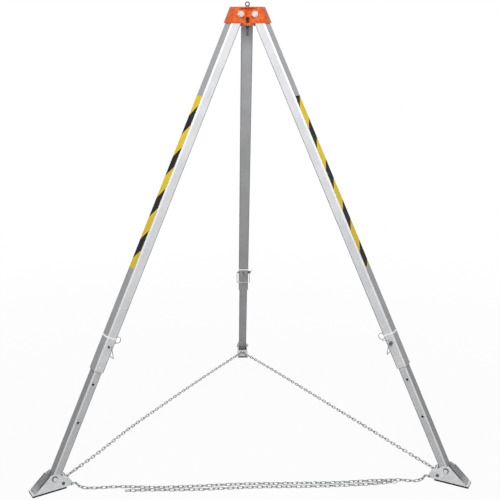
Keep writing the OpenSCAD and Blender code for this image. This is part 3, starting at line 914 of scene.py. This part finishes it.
def anchor_eye_piece():
    """A forged eye under the head on its threaded shank."""
    loop = ring("loop", ANCHOR_RADIUS, ANCHOR_WIRE, 48, 18)
    turn(loop, ANCHOR_DEEPER)
    turn(loop, Matrix.Translation((0, 0, ANCHOR_UP)) @ OUTWARD)
    neck = turned("neck", [(radius, ANCHOR_UP + up) for radius, up in (
        (0.0062, 0.0150), (0.0090, 0.0185), (0.0100, 0.0215), (0.0100, 0.0255), (0.0062, 0.0275))], 28)
    shank = thread_end("shank", ANCHOR_THREAD, ANCHOR_UP + 0.0270, HEAD_TOP + 0.0042)
    eye = join("anchor_eye_forging", [loop, neck, shank])
    smooth(eye, 45)
    return eye


fit(anchor_eye_piece(), "head", "dark_steel", DARK_STEEL, "anchor_eye")
nut = hexagon("anchor_nut_hexagon", ANCHOR_NUT, UNDER_TOP - ANCHOR_NUT_HIGH, UNDER_TOP)
smooth(nut)
fit(nut, "head", "zinc", ZINC, "anchor_nut")


def carrying_eye_piece():
    """The small carrying eye on the top, with its turned collar."""
    collar = turned("collar", [(radius, HEAD_TOP + up) for radius, up in (
        (0.0082, 0), (0.0090, 0.0008), (0.0090, 0.0042), (0.0072, 0.0062), (0.0045, 0.0070))], 32)
    loop = ring("loop", TOP_EYE_RADIUS, TOP_EYE_WIRE, 40, 14)
    turn(loop, Matrix.Translation((0, 0, TOP_EYE_UP)) @ UPRIGHT)
    eye = join("carrying_eye", [collar, loop])
    smooth(eye, 45)
    return eye


fit(carrying_eye_piece(), "head", "dark_steel", DARK_STEEL, "top_eye")


# Legs
def on_each_leg(pattern, name, part, slot, finish, place_of, body):
    """Copies a pattern to the three legs, each copy standing for that leg's CAD node."""
    for leg, azimuth in LEGS.items():
        twin = copy_of(pattern, name + "_" + leg)
        turn(twin, place_of(azimuth))
        fit(twin, body + leg, slot, finish, part + "_" + leg)
    drop(pattern)


def paint(node_name, finish):
    """Gives a CAD node that stays its finish."""
    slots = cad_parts[node_name].data.materials
    slots.clear()
    slots.append(finish)


UPPER_TONE = 0.75
# Painted highlight band across the sides of the upper tubes
UPPER_HIGHLIGHT_BAND = (0.0150, 0.0225)
UPPER_FLAT = 0.0235
# Lower tube tones differ per leg: painted light and shade on copies of one tube
LOWER_LIT_AND_SHADED_TONES = {"rear": 0.74, "left": 0.64, "right": 0.64}
# Painted highlight band across the sides of the lower tubes
LOWER_HIGHLIGHT_BAND = (0.0110, 0.0175)
LOWER_FLAT = 0.0192
# Upper edge of a black stripe on the middle line of each tape, in the leg's frame
BLACK_TOPS = {"rear": -0.484, "left": -0.484, "right": -0.548}
for leg, azimuth in LEGS.items():
    upper = tube_finish("Upper tube " + leg, azimuth, UPPER_TONE, UPPER_HIGHLIGHT_BAND, UPPER_FLAT)
    lower = tube_finish("Lower tube " + leg, azimuth, LOWER_LIT_AND_SHADED_TONES[leg], LOWER_HIGHLIGHT_BAND, LOWER_FLAT)
    paint("upper_tube_" + leg, upper)
    paint("lower_tube_" + leg, lower)
    paint("safety_tape_" + leg, tape_finish("Safety tape " + leg, azimuth, BLACK_TOPS[leg]))
    paint("hinge_bush_" + leg, ZINC)
    paint("tube_liner_" + leg, NYLON)


RIVET_UP = UPPER_END + 0.020


def rivet_pair():
    """Two domed rivets in the upper tube's side walls, near its lower end."""
    heads = []
    for side in (0, 180):
        rivet = turned("rivet", [(0.0020, 0.0233), (0.0020, 0.0275), (0.0040, 0.0275), (0.0040, 0.0278),
                                 (0.0034, 0.0284), (0.0022, 0.02865), (0.0008, 0.0287)], 20)
        smooth(rivet, 45)
        turn(rivet, Matrix.Rotation(math.radians(side), 4, "Z") @ ACROSS)
        heads.append(rivet)
    pair = join("rivet_pattern", heads)
    turn(pair, Matrix.Translation((0, 0, RIVET_UP)))
    return pair


on_each_leg(rivet_pair(), "domed_rivets", "liner_rivets", "zinc", ZINC, leg_place, "upper_leg_")


BAND_EDGE = 0.0003
SCREW_AT = (-0.0262, 0.014, BAND_Z)


def band_piece(leg):
    """The clamp band with softened edges, and the screw beside its ear that closes it."""
    band = copy_of_node("clamp_band_" + leg, "band_strap_" + leg)
    round_edges(band, BAND_EDGE, 2, 40)
    screw = turned("screw", [(0.0024, -0.0004), (0.0028, 0.0004), (0.0028, 0.0016), (0.0022, 0.0020)], 6)
    smooth(screw)
    inward = Matrix.Rotation(math.radians(-90), 4, "Y")
    turn(screw, leg_place(LEGS[leg]) @ Matrix.Translation(SCREW_AT) @ inward)
    return join("band_clamp_" + leg, [band, screw])


for leg in LEGS:
    fit(band_piece(leg), "upper_leg_" + leg, "zinc", BAND_ZINC, "clamp_band_" + leg)


SPLIT_RADIUS = 0.015
SPLIT_WIRE = 0.0012
SPLIT_APART = 0.00055
SPLIT_STEP_AT = math.radians(110)


def split_ring_pattern():
    """A split ring: two turns of wire lying on each other, with the step where they part."""
    turns = []
    for height in (-SPLIT_APART, SPLIT_APART):
        coil = ring("coil", SPLIT_RADIUS, SPLIT_WIRE, 56, 10)
        turn(coil, Matrix.Translation((0, 0, height)))
        turns.append(coil)
    step = box("step", (0.0137, -0.0018, -0.0016), (0.0163, 0.0018, 0.0016))
    round_edges(step, 0.0004, 2)
    turns.append(step)
    coil = join("split_ring_pattern", turns)
    turn(coil, Matrix.Translation((RING_X, 0, RING_Z)) @ ACROSS @ Matrix.Rotation(SPLIT_STEP_AT, 4, "Z"))
    return coil


on_each_leg(split_ring_pattern(), "split_ring_coil", "split_ring", "dark_steel", DARK_STEEL, leg_place,
            "upper_leg_")


def lock_pin_pattern():
    """The lock pin: a grooved head with a rounded end, a shoulder, and the pointed tip on the far side."""
    head = turned("head", [
        (0.0056, -0.0425), (0.0070, -0.0416), (0.0075, -0.0404), (0.0075, -0.0330), (0.0066, -0.0324),
        (0.0066, -0.0312), (0.0075, -0.0306), (0.0075, -0.0292), (0.0068, -0.0285), (0.0050, -0.0284),
        (0.0050, -0.0245)], 32)
    tip = turned("tip", [
        (0.0050, 0.0245), (0.0050, 0.0318), (0.0046, 0.0328), (0.0036, 0.0346), (0.0022, 0.0355)], 32)
    pin = join("lock_pin_pattern", [head, tip])
    smooth(pin)
    turn(pin, Matrix.Translation((0, 0, PIN_Z)) @ ACROSS)
    return pin


on_each_leg(lock_pin_pattern(), "lock_pin_turned", "lock_pin", "dark_steel", DARK_STEEL, leg_place,
            "upper_leg_")

BAIL_LEAN = math.radians(31.8 + 90)
BAIL_OFF = 0.010
BAIL_REACH = 0.060
BAIL_FAR = 0.074
BAIL_WIRE = 0.002
BAIL_BEND = 0.0045
BAIL_EYE = (0, -0.0355, PIN_Z)
BEND_STEPS = 8


def bent_wire(name, corners, radius, bend):
    """A round wire through corners, each bent on a radius."""
    points = [Vector(corners[0])]
    for before, corner, after in zip(corners, corners[1:], corners[2:]):
        before, corner, after = Vector(before), Vector(corner), Vector(after)
        into = (before - corner).normalized()
        out = (after - corner).normalized()
        start = corner + into * bend
        stop = corner + out * bend
        for k in range(BEND_STEPS + 1):
            t = k / BEND_STEPS
            points.append(start * (1 - t) ** 2 + corner * 2 * t * (1 - t) + stop * t * t)
    points.append(Vector(corners[-1]))
    choose(round_curve(name, points, radius, 4))
    bpy.ops.object.convert(target="MESH")
    wire = bpy.context.object
    face_outwards(wire)
    smooth(wire, 50)
    return wire


def bail_pattern():
    """The square bail of round wire that swings over the pin's tip."""
    wire = bent_wire("bail_pattern", [
        (0, 0, 0.0075), (0, 0, -BAIL_OFF), (BAIL_REACH, 0, -BAIL_OFF), (BAIL_REACH, BAIL_FAR, -BAIL_OFF),
        (-0.001, BAIL_FAR, -BAIL_OFF)], BAIL_WIRE, BAIL_BEND)
    turn(wire, Matrix.Translation(BAIL_EYE) @ Matrix.Rotation(BAIL_LEAN, 4, "Y"))
    return wire


on_each_leg(bail_pattern(), "bail_wire", "pin_bail", "zinc", STEEL, leg_place, "bail_")


# Feet
CHANNEL_EDGE = 0.0011
SLOPE_EDGE = 0.0007
for leg, azimuth in LEGS.items():
    foot = copy_of_node("foot_shell_" + leg, "foot_channel_" + leg)
    round_edges(foot, CHANNEL_EDGE, 3, 25)
    fit(foot, "foot_" + leg, "galvanised", GALVANISED, "foot_shell_" + leg)
    plate = copy_of_node("foot_ramp_" + leg, "foot_slope_" + leg)
    round_edges(plate, SLOPE_EDGE, 2, 40)
    fit(plate, "foot_" + leg, "dark_plate", plate_finish("Dark plate " + leg, azimuth), "foot_ramp_" + leg)


SOLE_BACK = -0.052
SOLE_LONG = 0.159
SOLE_THICK = 0.008
SOLE_STRIPS = 26
FOOT_HALF = 0.0295
GROOVE_HALF = 0.0262
GROOVE_DEEP = 0.0016


def sole_pattern():
    """The rubber sole: a block with grooves across its tread, closed at the sides."""
    sole = box("sole_pattern", (SOLE_BACK, -FOOT_HALF, 0), (SOLE_BACK + SOLE_LONG, FOOT_HALF, SOLE_THICK))
    choose(sole)
    bpy.ops.object.mode_set(mode="EDIT")
    for k in range(1, SOLE_STRIPS):
        bpy.ops.mesh.select_all(action="SELECT")
        x = SOLE_BACK + SOLE_LONG * k / SOLE_STRIPS
        bpy.ops.mesh.bisect(plane_co=(x, 0, 0), plane_no=(1, 0, 0))
    for y in (-GROOVE_HALF, GROOVE_HALF):
        bpy.ops.mesh.select_all(action="SELECT")
        bpy.ops.mesh.bisect(plane_co=(0, y, 0), plane_no=(0, 1, 0))
    bpy.ops.object.mode_set(mode="OBJECT")

    def groove(face):
        strip = int((face.center.x - SOLE_BACK) / (SOLE_LONG / SOLE_STRIPS))
        inside = 0 < strip < SOLE_STRIPS - 1 and abs(face.center.y) < GROOVE_HALF
        return strip % 2 == 1 and inside and face.normal.z < -0.5

    pick(sole, "FACE", groove)
    bpy.ops.mesh.extrude_region_move(TRANSFORM_OT_translate={"value": (0, 0, GROOVE_DEEP)})
    bpy.ops.object.mode_set(mode="OBJECT")
    face_outwards(sole)
    smooth(sole)
    return sole


on_each_leg(sole_pattern(), "tread_sole", "foot_sole", "rubber", RUBBER, foot_place, "foot_")


FOOT_HEX = 0.0106
FOOT_SHANK = 0.0059
FOOT_THREAD = 0.0058
FOOT_WASHER = 0.0132
FOOT_PAD = FOOT_HALF + 0.0014
FOOT_HEAD_END = 0.0370
FOOT_NUT_END = 0.0378
FOOT_THREAD_END = 0.0391


def foot_bolt_pattern():
    """A foot's hinge bolt with its head and nut."""
    shank = turned("shank", [(FOOT_SHANK, -FOOT_PAD), (FOOT_SHANK, FOOT_PAD)], 32)
    head = hexagon("head", FOOT_HEX, FOOT_PAD, FOOT_HEAD_END)
    nut = hexagon("nut", FOOT_HEX, -FOOT_NUT_END, -FOOT_PAD)
    end = thread_end("end", FOOT_THREAD, FOOT_NUT_END, FOOT_THREAD_END)
    turn(end, Matrix.Rotation(math.radians(180), 4, "X"))
    bolt = join("foot_bolt_pattern", [shank, head, nut, end])
    smooth(bolt)
    turn(bolt, Matrix.Translation((0, 0, FOOT_HINGE_UP)) @ ACROSS)
    return bolt


on_each_leg(foot_bolt_pattern(), "foot_bolt_set", "foot_bolt", "zinc", ZINC, foot_place, "foot_")


def foot_washers(leg):
    """The dark washers under the head and the nut of a foot's hinge bolt."""
    near = washer("pad", FOOT_WASHER, FOOT_HALF, FOOT_PAD)
    far = washer("pad", FOOT_WASHER, -FOOT_PAD, -FOOT_HALF)
    pads = join("foot_washers_" + leg, [near, far])
    smooth(pads)
    turn(pads, foot_place(LEGS[leg]) @ Matrix.Translation((0, 0, FOOT_HINGE_UP)) @ ACROSS)
    return pads


HEEL_EYE_X = -0.064
HEEL_EYE_RADIUS = 0.009
HEEL_EYE_WIRE = 0.003


def chain_eye_pattern():
    """The chain eye at the heel: a ring on a collar, with its nut inside the heel plate."""
    loop = ring("loop", HEEL_EYE_RADIUS, HEEL_EYE_WIRE, 36, 14)
    turn(loop, Matrix.Translation((HEEL_EYE_X, 0, CHAIN_EYE_UP)) @ UPRIGHT)
    collar = turned("collar", [
        (0.0030, -0.0560), (0.0044, -0.0548), (0.0050, -0.0535), (0.0050, -0.0521)], 24)
    shank = turned("shank", [(0.0029, -0.0525), (0.0029, -0.0470)], 24)
    nut = hexagon("nut", 0.0053, -0.0480, -0.0434)
    stem = join("stem", [collar, shank, nut])
    turn(stem, Matrix.Translation((0, 0, CHAIN_EYE_UP)) @ OUTWARD)
    eye = join("chain_eye_pattern", [loop, stem])
    smooth(eye, 45)
    return eye


on_each_leg(chain_eye_pattern(), "chain_eye_forging", "chain_eye", "zinc", ZINC, foot_place, "foot_")


# Place along the foot, height and radius of the cross bolt's head and the nose's eyelet
HEEL_HEADS = ((-0.038, 0.030, 0.0075), (-0.0765, 0.015, 0.0036))


def heel_rivets(leg):
    """The round heads of the heel's cross bolt, and the eyelet in the nose, on both side plates."""
    heads = []
    for side in (1, -1):
        for x, up, radius in HEEL_HEADS:
            head = turned("head", [
                (radius, 0.0290), (radius, 0.0312), (radius * 0.86, 0.0322), (radius * 0.5, 0.0326)], 24)
            smooth(head, 45)
            mirror = Matrix.Diagonal((1, side, 1, 1))
            turn(head, foot_place(LEGS[leg]) @ mirror @ Matrix.Translation((x, 0, up)) @ ACROSS)
            heads.append(head)
    return join("heel_heads_" + leg, heads)


for leg in LEGS:
    fit(heel_rivets(leg), "foot_" + leg, "dark_steel", DARK_STEEL)
    fit(foot_washers(leg), "foot_" + leg, "dark_steel", DARK_STEEL)


# Studio: a white floor that keeps a soft shadow, large soft lamps and a white surround
WHITE = (1, 1, 1, 1)


def seen_rays(tree):
    """One for rays from the camera, off mirrors and through glass."""
    rays = tree.nodes.new("ShaderNodeLightPath").outputs
    seen = maths(tree, "MAXIMUM", rays["Is Camera Ray"], rays["Is Glossy Ray"])
    return maths(tree, "MAXIMUM", seen, rays["Is Transmission Ray"])


def build_floor():
    """A floor that looks almost white but still takes a soft shadow, and white far out."""
    clear_choice()
    bpy.ops.mesh.primitive_plane_add(size=40, location=(0, 0, -0.0005))
    floor = bpy.context.object
    floor.name = "studio_floor"
    finish, tree, shader, place = new_finish("Studio floor")
    shader.inputs["Base Color"].default_value = (0.60, 0.60, 0.60, 1)
    shader.inputs["Roughness"].default_value = 0.9
    out = node(tree, "ShaderNodeVectorMath", {0: place}, operation="LENGTH").outputs["Value"]
    share = maths(tree, "MULTIPLY", seen_rays(tree), ramp(tree, out, 1.2, 4.0, 0.95, 1.0))
    glow = node(tree, "ShaderNodeEmission", {"Color": WHITE, "Strength": 1.0})
    both = node(tree, "ShaderNodeMixShader", {0: share, 1: shader.outputs[0], 2: glow.outputs[0]})
    tree.links.new(both.outputs[0], tree.nodes["Material Output"].inputs["Surface"])
    floor.data.materials.append(finish)


def build_surround():
    """A surround that looks white and lights the object only a little."""
    world = bpy.data.worlds.new("Studio surround")
    bpy.context.scene.world = world
    world.use_nodes = True
    tree = world.node_tree
    fill = tree.nodes["Background"]
    fill.inputs["Color"].default_value = WHITE
    fill.inputs["Strength"].default_value = 0.16
    white = node(tree, "ShaderNodeBackground", {"Color": WHITE, "Strength": 1.0})
    both = node(tree, "ShaderNodeMixShader", {0: seen_rays(tree), 1: fill.outputs[0], 2: white.outputs[0]})
    tree.links.new(both.outputs[0], tree.nodes["World Output"].inputs["Surface"])


def build_lamps():
    """Large soft lamps in front, above and behind."""
    for name, spot, aim, size, power in (
            ("Front lamp", (-0.1, -2.3, 2.9), (0, 0, 1.5), 1.4, 68),
            ("Top lamp", (0.3, -0.6, 4.6), (0, 0, 1.0), 3.0, 20),
            ("Back lamp", (0.4, 3.6, 2.8), (0, 0, 1.2), 2.0, 60)):
        clear_choice()
        bpy.ops.object.light_add(type="AREA", location=spot)
        lamp = bpy.context.object
        lamp.name = name
        lamp.data.size = size
        lamp.data.energy = power
        lamp.rotation_euler = (Vector(aim) - Vector(spot)).to_track_quat("-Z", "Y").to_euler()


build_floor()
build_surround()
build_lamps()

clear_choice()
